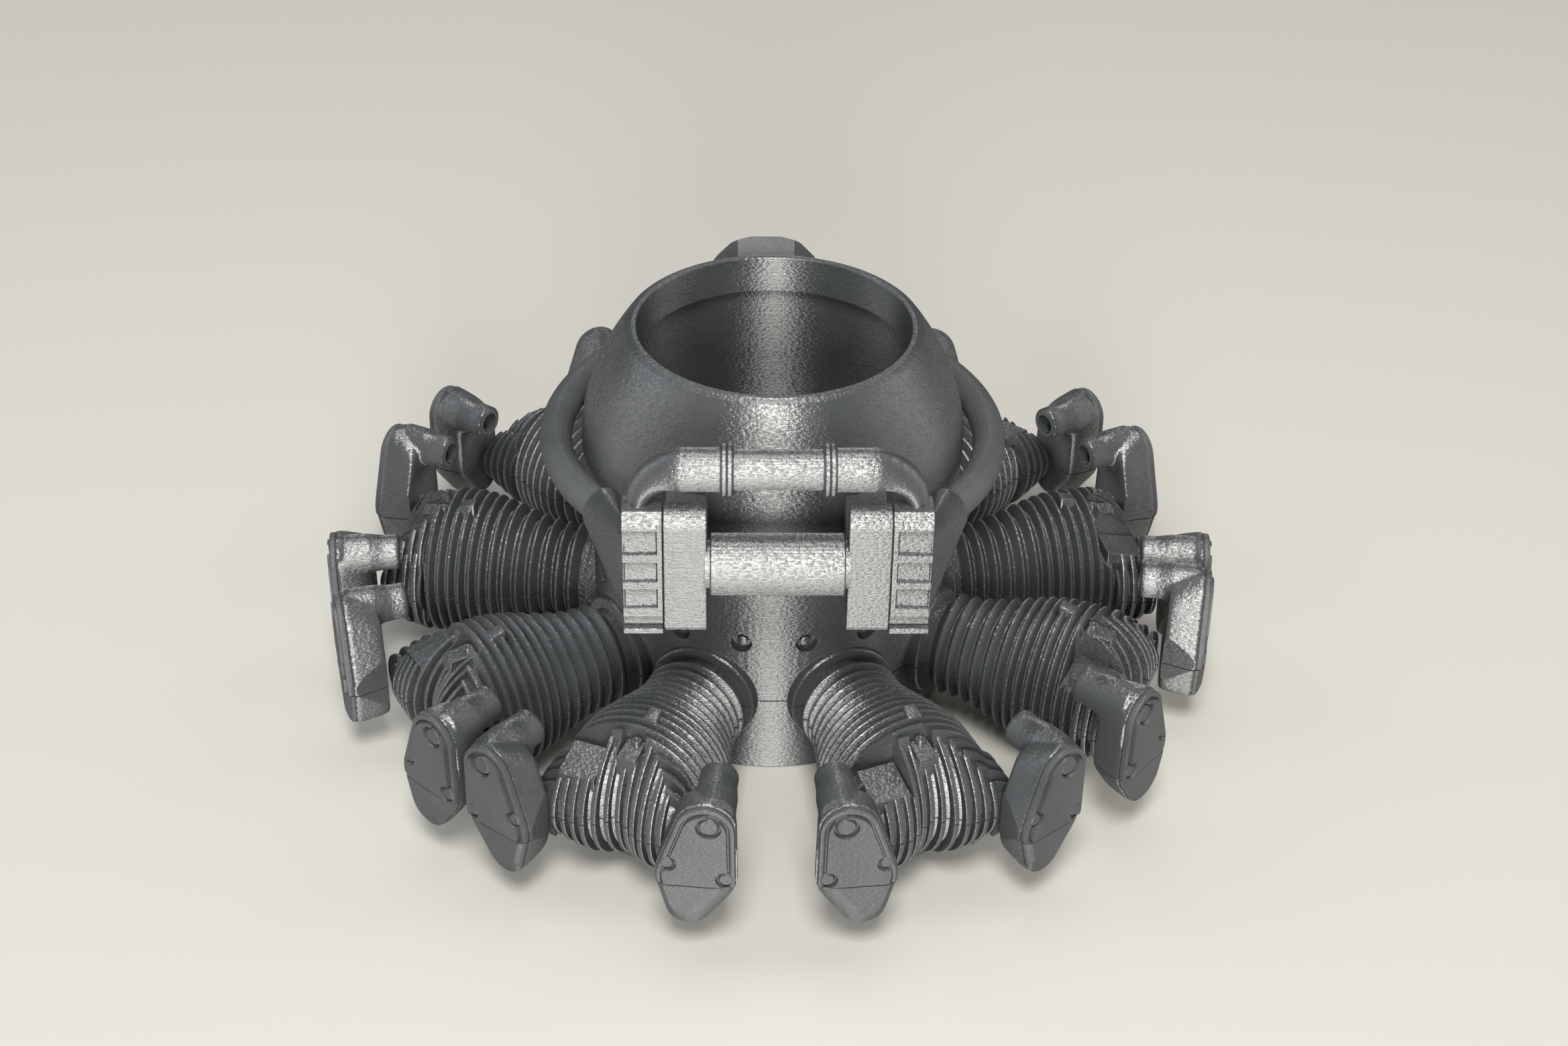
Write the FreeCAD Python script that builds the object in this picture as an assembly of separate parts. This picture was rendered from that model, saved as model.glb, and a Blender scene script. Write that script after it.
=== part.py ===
"""Display model of a nine-cylinder radial aircraft engine, printed in grey plastic.

The engine lies on the rear face of its crankcase with the nose up. The frame's origin is the
centre of that rear face, +Z runs along the engine axis to the nose, and the two magnetos are
at -Y. The crankcase, cylinders and rocker boxes are cut on one parting plane into front and
rear halves, as the real ones are. A cylinder is drawn lying along +X with that plane at z = 0,
then turned to its place. Round outsides are drawn with flat sides, to keep the model light.
"""
import FreeCAD, Part
import math
import os

os.makedirs("parts", exist_ok=True)

V = FreeCAD.Vector
ORIGIN = V(0, 0, 0)
UP = V(0, 0, 1)

# Crankcase: a plain tube with a round seat and two blind pushrod holes for each cylinder.
CRANK_R = 28.2
CASE_WALL = 6.2
PART_Z = 13.2
CRANK_FRONT_H = 20.0
SEAT_R = 8.6
SEAT_PROUD = 0.7
SEAT_SIDES = 6
CASE_SIDES = 36
HOLE_R = 1.6
HOLE_DEPTH = 1.6
HOLE_H = 10.8
HOLE_SIDES = 6

# Nose case: a bell that swells a little over the crankcase and closes to a thin open lip.
NOSE_H = 30.1
NOSE_SWELL = 1.3
NOSE_BELLY_H = 11.0
NOSE_NECK_IN = 2.0
NOSE_NECK_H = 24.0
NOSE_LIP_T = 1.0
NOSE_MOUTH_STEP = 1.2
NOSE_MOUTH_H = 5.8

# Cylinders: even pitch, each one a few degrees out because it was set by hand.
CYLINDERS = 9
SET_ERROR = (0.0, 0.0, -0.3, 1.2, -2.2, 1.9, 4.6, 0.4, 0.0)
BARREL_SIDES = 6
NECK_R = 6.7
NECK_L = 1.8
FINS = 8
FIN_DEPTH = 1.5
FIN_R_FIRST = 8.1
FIN_R_LAST = 11.9

# Head: plate fins that run along the cylinder and wrap down its outer end.
HEAD_END = 62.8
HEAD_L = 8.0
HEAD_START = 5.8
HEAD_VALLEY = 2.5
HEAD_HALF_W = 9.4
HEAD_EDGE_RISE = 0.84
HEAD_FINS = 4
HEAD_FIN_T = 2.0
HEAD_FIN_DEPTH = 1.2
HEAD_STEPS = 2

# Flat block and pad on the front of each head.
BLOCK_BACK = 10.2
BLOCK_L = 7.2
BLOCK_W = 6.4
BLOCK_TOP = 7.4
BLOCK_T = 4.0
PAD_BACK = 9.2
PAD_SIDE = 0.6
PAD_L = 4.4
PAD_W = 2.8
PAD_TOP = 10.3

# Rocker boxes and their covers.
COVER_BEYOND = 5.8
COVER_CLEAR = 0.35
SPLAY = 15.8
COVER_TOP = 14.0
COVER_TOP_R = 4.4
COVER_BELLY_H = 1.2
COVER_BOTTOM = -7.8
COVER_BOTTOM_R = 3.0
COVER_LEAN = 1.3
COVER_TUCK = 1.0
TOP_STEPS = 3
TIP_STEPS = 2
RIM_INSET = 0.5
RIM_T = 1.0
PLATE_INSET = 1.4
PLATE_T = 0.5
BOX_BACK = 5.0
BOX_BACK_SCALE = 0.86
BOX_FOOT_H = 3.0
BOX_FOOT_L = 4.0
BOX_END_SCALE = 0.62
BOX_END_W = -3.0
BOX_END_H = 1.6
SOCKET_R = 2.75
SOCKET_BORE_R = 1.5
SOCKET_BORE_DEPTH = 3.0
SOCKET_W = 2.2
SOCKET_H = 10.9
SOCKET_L = 9.9
SOCKET_SIDES = 8
SMALL_SIDES = 6

# Ignition ring round the nose, and the duct at each of its ends.
RING_GAP = 1.5
RING_W = 5.0
RING_T = 5.0
RING_H = 31.0
RING_CHAMFER = 1.4
RING_ANGLE = 50.0
DUCT_GROW = 0.4
DUCT_INSET = 0.6
DUCT_BELOW = 4.1
DUCT_ABOVE = 1.6

# Magnetos, distributors and the drive housing between them.
MAG_STAND = 11.8
MAG_IN = 9.9
MAG_W = 6.2
MAG_FACE_T = 4.0
MAG_TOP = 41.9
MAG_BOTTOM = 21.6
MAG_BODY_TOP = 36.8
MAG_CHAMFER = 1.2
DIST_W = 5.8
DIST_DEPTH = 6.1
DIST_STEP = 0.5
DIST_TOP = 41.6
DIST_CAP_H = 1.0
DIST_FOOT_H = 3.0
DIST_LIP_H = 0.9
WINDOWS = 3
WINDOW_INSET = 0.9
WINDOW_DEPTH = 1.0
WINDOW_RIB = 1.3
HOUSING_R = 4.4
HOUSING_STUB_R = 3.4
HOUSING_GAP = 0.4
HOUSING_SIDES = 16
HOUSING_H = 33.0
HOUSING_SET_BACK = 1.5

# Crossover pipe above the magnetos, with a collar and a tapered elbow at each end.
PIPE_R = 2.9
PIPE_GAP = 2.1
PIPE_BEHIND = 4.4
COLLAR_R = 3.65
COLLAR_T = 1.8
COLLAR_X = 6.3
ELBOW_R = 3.0
ELBOW_END_R = 1.45
ELBOW_SIDES = 12
ELBOW_STEPS = 4
ELBOW_BEFORE = 2.2
ELBOW_BEYOND = 3.5

# Hexagon plug square to the dome, on the side of the top cylinder.
PLUG_FLATS = 14.2
PLUG_L = 5.0
PLUG_SINK = 3.0
PLUG_X = -0.9
PLUG_IN = 2.2
PLUG_H = 42.0
PLUG_TILT = 60.0
PLUG_CHAMFER = 0.6

AZIMUTHS = [180.0 + i * 360.0 / CYLINDERS + SET_ERROR[i] for i in range(CYLINDERS)]
BORE_R = CRANK_R - CASE_WALL
NOSE_BELLY_R = CRANK_R + NOSE_SWELL
NOSE_NECK_R = CRANK_R - NOSE_NECK_IN
NOSE_MOUTH_R = BORE_R - NOSE_MOUTH_STEP
NOSE_LIP_R = NOSE_MOUTH_R + NOSE_LIP_T
SEAT_FACE = CRANK_R + SEAT_PROUD
FIN_END = HEAD_END - HEAD_L
FIN_FULL_FROM = FIN_END - HEAD_START
BLOCK_FROM = HEAD_END - BLOCK_BACK
PAD_FROM = HEAD_END - PAD_BACK
CASE_FRONT = PART_Z + CRANK_FRONT_H
NOSE_TOP = CASE_FRONT + NOSE_H
PLUG_Y = CRANK_R - PLUG_IN
MAG_FRONT = CRANK_R + MAG_STAND
MAG_OUT = MAG_IN + MAG_W
DIST_OUT = MAG_OUT + DIST_W
DIST_BACK = MAG_FRONT - DIST_DEPTH
RING_R = NOSE_BELLY_R + RING_GAP + RING_W / 2
PIPE_H = MAG_TOP + PIPE_GAP + ELBOW_R
PIPE_OUT = MAG_FRONT - PIPE_BEHIND
HOUSING_OUT = MAG_FRONT - HOUSING_SET_BACK
FAR = 4 * HEAD_END
saved = []


def save(name, shape):
    """Write one piece, or one group of like pieces, to its own file."""
    shape.exportStep("parts/" + name + ".step")
    saved.append(name)


def box(low, high):
    """Block between two opposite corners."""
    return Part.makeBox(high[0] - low[0], high[1] - low[1], high[2] - low[2], V(*low))


def flat_face(points):
    return Part.Face(Part.makePolygon(points + [points[0]]))


def polygon_at(sides, radius, z):
    """Corners of a level regular polygon whose flats lie at the radius, one facing +X."""
    corner = radius / math.cos(math.pi / sides)
    points = []
    for i in range(sides):
        angle = math.pi * (2 * i + 1) / sides
        points.append(V(corner * math.cos(angle), corner * math.sin(angle), z))
    return points


def prism(sides, radius, length, start, along):
    """Bar with a regular polygon section whose flats lie at the radius."""
    bar = flat_face(polygon_at(sides, radius, 0)).extrude(V(0, 0, length))
    turn = FreeCAD.Rotation(UP, along)
    bar.Placement = FreeCAD.Placement(start, turn)
    return bar


def sides_between(a, b):
    """Flat sides between two rows of points; a side that would twist is made of two triangles."""
    faces = []
    for k in range(len(a) - 1):
        corners = [a[k], a[k + 1], b[k + 1], b[k]]
        normal = (corners[1] - corners[0]).cross(corners[2] - corners[0])
        if abs(normal.dot(corners[3] - corners[0])) < 1e-6:
            faces.append(flat_face(corners))
        else:
            faces.append(flat_face(corners[:3]))
            faces.append(flat_face([corners[0], corners[2], corners[3]]))
    return faces


def skinned(rows, extra):
    """Closed solid from rows of points joined by flat sides, plus the faces that close it."""
    faces = list(extra)
    for a, b in zip(rows, rows[1:]):
        faces.extend(sides_between(a, b))
    shell = Part.Shell(faces)
    shell.sewShape()
    solid = Part.Solid(shell)
    if solid.Volume < 0:
        solid.reverse()
    return solid


def half_turned(profile, sides):
    """Half of a piece turned about +X, lying on the parting plane, from (u, radius) pairs."""
    rows = []
    for u, radius in profile:
        row = []
        for k in range(sides + 1):
            angle = math.pi * k / sides
            row.append(V(u, radius * math.cos(angle), radius * math.sin(angle)))
        rows.append(row)
    seam = [row[0] for row in rows] + [row[-1] for row in reversed(rows)]
    return skinned(rows, [flat_face(rows[0]), flat_face(rows[-1]), flat_face(seam)])


def tapered(outlines):
    """Solid through closed outlines with the same number of points."""
    rows = [points + [points[0]] for points in outlines]
    return skinned(rows, [flat_face(outlines[0]), flat_face(outlines[-1])])


def placed(shape, azimuth):
    """Turn a piece drawn along +X to its azimuth, counted from -Y, and lift it to the seam."""
    out = shape.copy()
    out.rotate(ORIGIN, UP, azimuth - 90.0)
    out.translate(V(0, 0, PART_Z))
    return out


def other_side(shape):
    """A cylinder's piece on the other side of its middle."""
    return shape.mirror(ORIGIN, V(0, 1, 0))


def flipped(shape):
    """The same piece across the parting plane, still drawn along +X."""
    return shape.mirror(ORIGIN, UP)


def sided(shape, side):
    """A piece drawn on the right of the engine, or its mirror on the left."""
    return shape if side > 0 else shape.mirror(ORIGIN, V(1, 0, 0))


def largest(shape):
    return max(shape.Solids, key=lambda solid: solid.Volume)


# Crankcase halves, bored right through.
def case_half(z_low, z_high, seat):
    """A length of crankcase tube with its half of every cylinder seat."""
    tube = prism(CASE_SIDES, CRANK_R, z_high - z_low, V(0, 0, z_low), UP)
    seats = [placed(seat, azimuth) for azimuth in AZIMUTHS]
    bore = Part.makeCylinder(BORE_R, z_high - z_low, V(0, 0, z_low), UP)
    return tube.multiFuse(seats).cut(bore).removeSplitter()


seat_half = half_turned([(BORE_R, SEAT_R), (SEAT_FACE, SEAT_R)], SEAT_SIDES)
crankcase_front = case_half(PART_Z, CASE_FRONT, seat_half)
holes = []
for i in range(2 * CYLINDERS):
    angle = math.radians((i + 0.5) * 180.0 / CYLINDERS)
    outward = V(math.sin(angle), -math.cos(angle), 0)
    start = outward * (CRANK_R - HOLE_DEPTH) + V(0, 0, PART_Z + HOLE_H)
    holes.append(prism(HOLE_SIDES, HOLE_R, HOLE_DEPTH * 2, start, outward))
save("crankcase_rear", case_half(0.0, PART_Z, flipped(seat_half)))
save("crankcase_front", crankcase_front.cut(Part.makeCompound(holes)))

# Nose case: a turned bell with a straight bore and a narrower mouth.
nose_outline = [
    (CRANK_R, CASE_FRONT),
    (NOSE_BELLY_R, CASE_FRONT + NOSE_BELLY_H),
    (NOSE_NECK_R, CASE_FRONT + NOSE_NECK_H),
    (NOSE_LIP_R, NOSE_TOP),
]
nose_body = tapered([polygon_at(CASE_SIDES, radius, z) for radius, z in nose_outline])
bore_end = NOSE_TOP - NOSE_MOUTH_H
bore = Part.makeCylinder(BORE_R, bore_end - CASE_FRONT, V(0, 0, CASE_FRONT), UP)
mouth = prism(CASE_SIDES, NOSE_MOUTH_R, NOSE_MOUTH_H, V(0, 0, bore_end), UP)
save("nose_case", nose_body.cut(bore).cut(mouth))


# Cylinders: barrel with ring fins, and a head with plate fins.
def fin_radius(u):
    """Crest radius of the ring fins, which swells towards the head."""
    share = min(1.0, (u - SEAT_FACE) / (FIN_FULL_FROM - SEAT_FACE))
    return FIN_R_FIRST + share * (FIN_R_LAST - FIN_R_FIRST)


def barrel_half():
    """Front half of a barrel: a neck on the seat and a row of sharp ring fins."""
    start = SEAT_FACE + NECK_L
    pitch = (FIN_END - start) / FINS
    profile = [(SEAT_FACE, NECK_R), (start, NECK_R)]
    for i in range(FINS):
        crest = start + pitch * (i + 0.5)
        root = start + pitch * (i + 1)
        profile.append((crest, fin_radius(crest)))
        profile.append((root, fin_radius(root) - FIN_DEPTH))
    return half_turned(profile, BARREL_SIDES)


def head_plate(v_low, v_high, end, drop):
    """One plate of the head: part of an ellipse over the seam, lowered by drop."""
    edge = (abs(v_low + v_high) / 2) / HEAD_HALF_W
    rise = FIN_R_LAST * (1 - (1 - HEAD_EDGE_RISE) * edge ** 2) - drop
    reach = end - drop - FIN_FULL_FROM
    first = math.asin((FIN_END - FIN_FULL_FROM) / reach)
    points = [V(FIN_END, v_low, 0)]
    for i in range(HEAD_STEPS + 1):
        angle = first + (math.pi / 2 - first) * i / HEAD_STEPS
        points.append(V(FIN_FULL_FROM + reach * math.sin(angle), v_low, rise * math.cos(angle)))
    points[-1].z = 0.0
    return flat_face(points).extrude(V(0, v_high - v_low, 0))


def head_end(v):
    """Where the plates end: two lobes with a shallow valley between them."""
    share = min(1.0, abs(v) / (HEAD_HALF_W / 2))
    return HEAD_END - HEAD_VALLEY * (1.0 - share)


def head_half():
    """Front half of a head: plates side by side, with lower ones between them."""
    pitch = (2 * HEAD_HALF_W - HEAD_FIN_T) / (HEAD_FINS - 1)
    plates = []
    for i in range(HEAD_FINS):
        low = i * pitch - HEAD_HALF_W
        high = low + HEAD_FIN_T
        plates.append(head_plate(low, high, head_end((low + high) / 2), 0.0))
        if i < HEAD_FINS - 1:
            between = head_end((high + low + pitch) / 2)
            plates.append(head_plate(high, low + pitch, between, HEAD_FIN_DEPTH))
    return plates[0].multiFuse(plates[1:])


half = barrel_half().fuse(head_half()).removeSplitter()
block_side = BLOCK_W - HEAD_HALF_W
block = box(
    (BLOCK_FROM, -HEAD_HALF_W, BLOCK_TOP - BLOCK_T),
    (BLOCK_FROM + BLOCK_L, block_side, BLOCK_TOP),
)
pocket = box((BLOCK_FROM, -FAR, BLOCK_TOP), (FAR, block_side, FAR))
pad = box(
    (PAD_FROM, PAD_SIDE, PAD_TOP - BLOCK_T),
    (PAD_FROM + PAD_L, PAD_SIDE + PAD_W, PAD_TOP),
)
front_half = half.cut(pocket).multiFuse([block, pad]).removeSplitter()
rear_half = flipped(half)

# Rocker boxes and covers, drawn at the +Y side of a head and turned out by the splay.
# Their width is what the two nearest cylinders leave between their heads.
SPLAY_RAD = math.radians(SPLAY)
COVER_OUT = V(math.cos(SPLAY_RAD), math.sin(SPLAY_RAD), 0)
COVER_SIDE = V(-math.sin(SPLAY_RAD), math.cos(SPLAY_RAD), 0)
nearest = min(b - a for a, b in zip(AZIMUTHS, AZIMUTHS[1:]))
lean = math.tan(math.radians(nearest / 2))
cover_inner = HEAD_END + COVER_BEYOND
cover_room = (cover_inner * lean - HEAD_HALF_W - COVER_CLEAR) / (COVER_SIDE.y - COVER_SIDE.x * lean)
COVER_BELLY_R = cover_room / 2
COVER_MID = V(cover_inner, HEAD_HALF_W, 0) + COVER_SIDE * COVER_BELLY_R


def tangent_angle(a, b, side):
    """Direction in which the line that touches two circles on one side lies from their centres."""
    across, rise = b[0] - a[0], b[1] - a[1]
    spread = math.acos((a[2] - b[2]) / math.hypot(across, rise))
    return math.atan2(rise, across) + side * spread


def cover_outline(inset):
    """Pear-shaped outline round a top, a belly and a tip circle, as (across, height) pairs."""
    top = (COVER_LEAN, COVER_TOP - COVER_TOP_R, COVER_TOP_R - inset)
    belly = (0.0, COVER_BELLY_H, COVER_BELLY_R - inset)
    tip = (-COVER_TUCK, COVER_BOTTOM + COVER_BOTTOM_R, COVER_BOTTOM_R - inset)
    outer = tangent_angle(top, belly, 1), tangent_angle(belly, tip, 1)
    inner = tangent_angle(top, belly, -1), tangent_angle(belly, tip, -1)
    arcs = [
        (top, inner[0], outer[0], TOP_STEPS),
        (belly, outer[0], outer[1], 1),
        (tip, outer[1], inner[1], TIP_STEPS),
        (belly, inner[1], inner[0], 1),
    ]
    points = []
    for (across, height, radius), start, stop, steps in arcs:
        sweep = (stop - start) % (2 * math.pi) - 2 * math.pi
        for i in range(steps + 1):
            angle = start + sweep * i / steps
            points.append((across + radius * math.cos(angle), height + radius * math.sin(angle)))
    return points


def on_cover(points, depth):
    """Points of an outline set on the cover's plane, moved outwards by depth."""
    return [COVER_MID + COVER_OUT * depth + COVER_SIDE * w + UP * h for w, h in points]


def narrowed(outline, scale):
    """The outline drawn smaller, about a point near the box's foot."""
    return [(BOX_END_W * (1 - scale) + w * scale, BOX_END_H * (1 - scale) + h * scale) for w, h in outline]


def rocker_box():
    """Box behind its cover, with a foot that runs on to the head and a round socket for a pushrod."""
    outline = cover_outline(0.0)
    back = on_cover(narrowed(outline, BOX_BACK_SCALE), -BOX_BACK)
    end = on_cover(narrowed(outline, BOX_END_SCALE), -BOX_BACK - BOX_FOOT_L)
    over_foot = box((-FAR, -FAR, BOX_FOOT_H), (FAR, FAR, FAR))
    shell = tapered([on_cover(outline, 0.0), back])
    foot = tapered([back, end]).cut(over_foot)
    mouth = on_cover([(SOCKET_W, SOCKET_H)], -SOCKET_L)[0]
    socket = prism(SOCKET_SIDES, SOCKET_R, SOCKET_L, mouth, COVER_OUT)
    socket_bore = prism(SMALL_SIDES, SOCKET_BORE_R, SOCKET_BORE_DEPTH, mouth, COVER_OUT)
    head_side = box((-FAR, -FAR, -FAR), (FAR, HEAD_HALF_W, FAR))
    return shell.multiFuse([foot, socket]).cut(socket_bore).cut(head_side)


def end_cover():
    """End cover: a rim with a raised plate inside it."""
    rim = flat_face(on_cover(cover_outline(RIM_INSET), 0.0)).extrude(COVER_OUT * RIM_T)
    plate = flat_face(on_cover(cover_outline(PLATE_INSET), RIM_T)).extrude(COVER_OUT * PLATE_T)
    return rim.fuse(plate)


def halves(solid):
    """The two halves of a piece that the parting plane cuts."""
    above = box((-FAR, -FAR, 0), (FAR, FAR, FAR))
    below = box((-FAR, -FAR, -FAR), (FAR, FAR, 0))
    return Part.makeCompound([solid.common(above), solid.common(below)])


box_halves = halves(rocker_box())
cover_halves = halves(end_cover())
covers = {"left": [], "right": []}
for i, azimuth in enumerate(AZIMUTHS):
    number = str(i + 1)
    save("cylinder_" + number + "_front", placed(front_half, azimuth))
    save("cylinder_" + number + "_rear", placed(rear_half, azimuth))
    save("rocker_box_" + number + "_left", placed(other_side(box_halves), azimuth))
    save("rocker_box_" + number + "_right", placed(box_halves, azimuth))
    covers["left"].append(placed(other_side(cover_halves), azimuth))
    covers["right"].append(placed(cover_halves, azimuth))
save("rocker_covers_left", Part.makeCompound(covers["left"]))
save("rocker_covers_right", Part.makeCompound(covers["right"]))


# Magnetos, distributors and drive housing, drawn for the right side and mirrored.
def across_x(x_low, x_high, outline):
    """Block drawn in the YZ plane, from (forward, height over the seam) pairs."""
    points = [V(x_low, -forward, PART_Z + height) for forward, height in outline]
    return flat_face(points).extrude(V(x_high - x_low, 0, 0))


def magneto():
    """Tall front face with chamfered ends, and a lower body that runs back to the nose."""
    face_back = MAG_FRONT - MAG_FACE_T
    outline = [
        (NOSE_LIP_R, MAG_BOTTOM + MAG_CHAMFER),
        (face_back, MAG_BOTTOM + MAG_CHAMFER),
        (face_back, MAG_BOTTOM),
        (MAG_FRONT - MAG_CHAMFER, MAG_BOTTOM),
        (MAG_FRONT, MAG_BOTTOM + MAG_CHAMFER),
        (MAG_FRONT, MAG_TOP - MAG_CHAMFER),
        (MAG_FRONT - MAG_CHAMFER, MAG_TOP),
        (face_back, MAG_TOP),
        (face_back, MAG_BODY_TOP),
        (NOSE_LIP_R, MAG_BODY_TOP),
    ]
    return largest(across_x(MAG_IN, MAG_OUT, outline).cut(nose_body))


def distributor():
    """Block beside a magneto, with windows open to its outer side and a lip at its foot."""
    front = MAG_FRONT - DIST_STEP / 2
    foot_top = MAG_BOTTOM + DIST_FOOT_H
    window_top = DIST_TOP - DIST_CAP_H
    outline = [
        (DIST_BACK, MAG_BOTTOM),
        (MAG_FRONT, MAG_BOTTOM),
        (MAG_FRONT, MAG_BOTTOM + DIST_LIP_H),
        (front - DIST_STEP, MAG_BOTTOM + DIST_LIP_H),
        (front - DIST_STEP, foot_top),
        (front, foot_top),
        (front, window_top),
        (front - DIST_CAP_H, DIST_TOP),
        (DIST_BACK, DIST_TOP),
    ]
    windows = []
    pitch = (window_top - foot_top - WINDOW_RIB) / WINDOWS
    for i in range(WINDOWS):
        low = PART_Z + foot_top + WINDOW_RIB + pitch * i
        high = low + pitch - WINDOW_RIB
        inner = (MAG_OUT + WINDOW_INSET, -MAG_FRONT - DIST_STEP, low)
        windows.append(box(inner, (DIST_OUT + WINDOW_INSET, WINDOW_DEPTH - front, high)))
    return across_x(MAG_OUT, DIST_OUT, outline).cut(Part.makeCompound(windows))


housing_mid = V(0, -HOUSING_OUT, PART_Z + HOUSING_H)
housing_half = MAG_IN - HOUSING_GAP
housing_end = housing_mid - V(housing_half, 0, 0)
housing = prism(HOUSING_SIDES, HOUSING_R, 2 * housing_half, housing_end, V(1, 0, 0))
stub_end = housing_mid - V(MAG_IN, 0, 0)
stub = prism(HOUSING_SIDES, HOUSING_STUB_R, 2 * MAG_IN, stub_end, V(1, 0, 0))
save("drive_housing", housing.fuse(stub))
for side_name, side in (("right", 1), ("left", -1)):
    save("magneto_" + side_name, sided(magneto(), side))
    save("distributor_" + side_name, sided(distributor(), side))


# Ignition ring, open at the front, and the two ducts that carry it to the distributors.
def ring_section(grow):
    """Section of the ring as (radius, height) pairs, chamfered where it shows."""
    out, inn = RING_R + RING_W / 2 + grow, RING_R - RING_W / 2 - grow
    top, low = RING_H + RING_T / 2 + grow, RING_H - RING_T / 2 - grow
    cut = RING_CHAMFER
    return [
        (out, low + cut),
        (out, top - cut),
        (out - cut, top),
        (inn + cut, top),
        (inn, top - cut),
        (inn, low),
        (out - cut, low),
    ]


def ring_at(pairs, azimuth):
    """A ring section standing at an azimuth."""
    angle = math.radians(azimuth)
    return [V(r * math.sin(angle), -r * math.cos(angle), PART_Z + h) for r, h in pairs]


def ring_duct():
    """Spout from the ring's end to the tall outer side of a distributor."""
    section = ring_section(DUCT_GROW)
    low_r, low_h = min(r for r, h in section), min(h for r, h in section)
    wide = RING_W + 2 * DUCT_GROW
    tall = RING_T + 2 * DUCT_GROW
    duct_low = MAG_BOTTOM + DUCT_ABOVE
    end = []
    for r, h in section:
        forward = DIST_BACK + DUCT_INSET + (DIST_DEPTH - 2 * DUCT_INSET) * (r - low_r) / wide
        height = duct_low + (DIST_TOP - DUCT_BELOW - duct_low) * (h - low_h) / tall
        end.append(V(DIST_OUT, -forward, PART_Z + height))
    return tapered([ring_at(section, RING_ANGLE), end])


ring_sweep = 360 - 2 * RING_ANGLE
ring_steps = round(ring_sweep * CASE_SIDES / 360)
ring_stops = [RING_ANGLE + ring_sweep * i / ring_steps for i in range(ring_steps + 1)]
save("ignition_ring", tapered([ring_at(ring_section(0.0), stop) for stop in ring_stops]))
save("ring_duct_right", ring_duct())
save("ring_duct_left", sided(ring_duct(), -1))

# Crossover pipe, its collars, and the elbows down to the distributors.
pipe_mid = V(0, -PIPE_OUT, PART_Z + PIPE_H)
pipe_end = pipe_mid - V(COLLAR_X, 0, 0)
save("crossover_pipe", prism(HOUSING_SIDES, PIPE_R, 2 * COLLAR_X, pipe_end, V(1, 0, 0)))
collar = prism(HOUSING_SIDES, COLLAR_R, COLLAR_T, pipe_mid + V(COLLAR_X, 0, 0), V(1, 0, 0))


def elbow():
    """Tapered quarter bend from a collar down onto a distributor."""
    drop = PIPE_H - DIST_TOP
    start = MAG_OUT - ELBOW_BEFORE
    reach = ELBOW_BEFORE + ELBOW_BEYOND
    outlines = []
    for i in range(-1, ELBOW_STEPS + 1):
        share = max(i, 0) / ELBOW_STEPS
        bend = math.pi / 2 * share
        radius = ELBOW_R + (ELBOW_END_R - ELBOW_R) * share
        centre = pipe_mid + V(start + reach * math.sin(bend), 0, -drop * (1 - math.cos(bend)))
        if i < 0:
            centre.x = COLLAR_X + COLLAR_T
        points = []
        for k in range(ELBOW_SIDES):
            turn = 2 * math.pi * k / ELBOW_SIDES
            lift = V(math.sin(bend), 0, math.cos(bend)) * (radius * math.cos(turn))
            points.append(centre + lift + V(0, radius * math.sin(turn), 0))
        outlines.append(points)
    return tapered(outlines)


for side_name, side in (("right", 1), ("left", -1)):
    save("pipe_collar_" + side_name, sided(collar, side))
    save("crossover_elbow_" + side_name, sided(elbow(), side))

# Hexagon plug with its corners turned off as on a nut, let into the dome.
plug_length = PLUG_L + PLUG_SINK
plug = prism(SMALL_SIDES, PLUG_FLATS / 2, plug_length, ORIGIN, UP)
corner_cut = PLUG_FLATS / 2 + PLUG_CHAMFER
flare = plug_length / PLUG_CHAMFER
turning_ends = [
    polygon_at(SMALL_SIDES, corner_cut + flare, 0),
    polygon_at(SMALL_SIDES, corner_cut, plug_length),
]
turning = tapered(turning_ends)
turning.rotate(ORIGIN, UP, 180.0 / SMALL_SIDES)
plug = plug.common(turning)
plug.rotate(ORIGIN, UP, 180.0 / SMALL_SIDES)
plug.rotate(ORIGIN, V(1, 0, 0), -PLUG_TILT)
tilt = math.radians(PLUG_TILT)
plug.translate(V(PLUG_X, PLUG_Y, PART_Z + PLUG_H) - V(0, math.sin(tilt), math.cos(tilt)) * PLUG_SINK)
save("nose_plug", largest(plug.cut(nose_body)))
print(len(saved), "files")
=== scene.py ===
"""Nine-cylinder radial engine model, printed in blue-grey plastic, lying on the rear face of its crankcase.

Pieces are drawn in millimetres and brought to metres when they are fitted. Heights named over the seam are
counted from the parting plane that splits crankcase, cylinders and rocker boxes into front and rear halves.
"""
import math

import bpy
from mathutils import Matrix, Vector


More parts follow.
